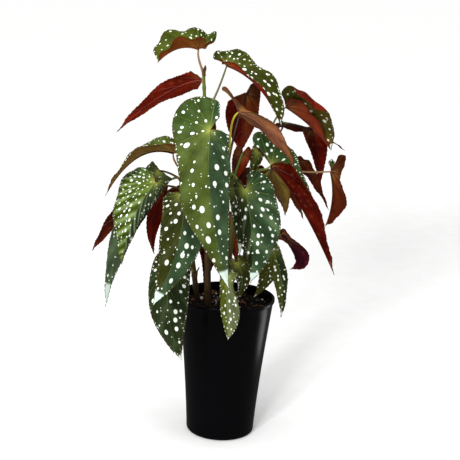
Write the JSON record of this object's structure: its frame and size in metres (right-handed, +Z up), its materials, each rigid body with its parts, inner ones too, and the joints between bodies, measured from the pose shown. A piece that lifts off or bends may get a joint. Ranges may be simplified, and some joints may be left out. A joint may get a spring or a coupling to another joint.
{
  "type": "potted begonia",
  "caption": "Cane begonia with spotted wing-shaped leaves, green above and red below, standing in a tall tapered pot of soil.",
  "frame": {"origin": "centre of the pot's flat base, on the surface that it stands on", "axes": "+Z up along the pot's axis, -Y towards the side that the picture shows, +X to its right"},
  "size_m": [0.3334, 0.205, 0.5343],
  "materials": {
    "black_plastic": "glossy black moulded plastic",
    "potting_mix": "loose dark soil, fully matte",
    "cane_skin": "smooth green to brown plant stem",
    "leaf_blade": "waxy green leaf with pale spots, red underside"
  },
  "bodies": {
    "root": {"pot": "black_plastic", "soil": "potting_mix", "cane_tall": "cane_skin", "cane_east": "cane_skin", "cane_back": "cane_skin", "cane_left": "cane_skin", "leaf_crown": "leaf_blade", "leaf_west_red": "leaf_blade", "leaf_north_east": "leaf_blade", "leaf_tan": "leaf_blade", "leaf_dark_north": "leaf_blade", "leaf_arch": "leaf_blade", "leaf_dark_east": "leaf_blade", "leaf_curtain_east": "leaf_blade", "leaf_far_east": "leaf_blade", "leaf_broad_east": "leaf_blade", "leaf_behind_east": "leaf_blade", "leaf_olive": "leaf_blade", "leaf_under_east": "leaf_blade", "leaf_front": "leaf_blade", "leaf_right_front": "leaf_blade", "leaf_mid_shadow": "leaf_blade", "leaf_rust_mid": "leaf_blade", "leaf_rim": "leaf_blade", "leaf_inner_rim": "leaf_blade", "leaf_lower_left": "leaf_blade", "leaf_left_front": "leaf_blade", "leaf_left_bright": "leaf_blade", "leaf_left_dark": "leaf_blade", "leaf_left_back": "leaf_blade", "leaf_left_far": "leaf_blade", "leaf_maroon_left": "leaf_blade", "leaf_purple": "leaf_blade", "leaf_low_tail": "leaf_blade", "leaf_low_right": "leaf_blade", "leaf_red_mid": "leaf_blade", "leaf_olive_mid": "leaf_blade", "leaf_core_dark": "leaf_blade", "leaf_core_low": "leaf_blade", "leaf_back_upper": "leaf_blade", "leaf_back_right": "leaf_blade", "leaf_back_left": "leaf_blade"}
  },
  "joints": []
}
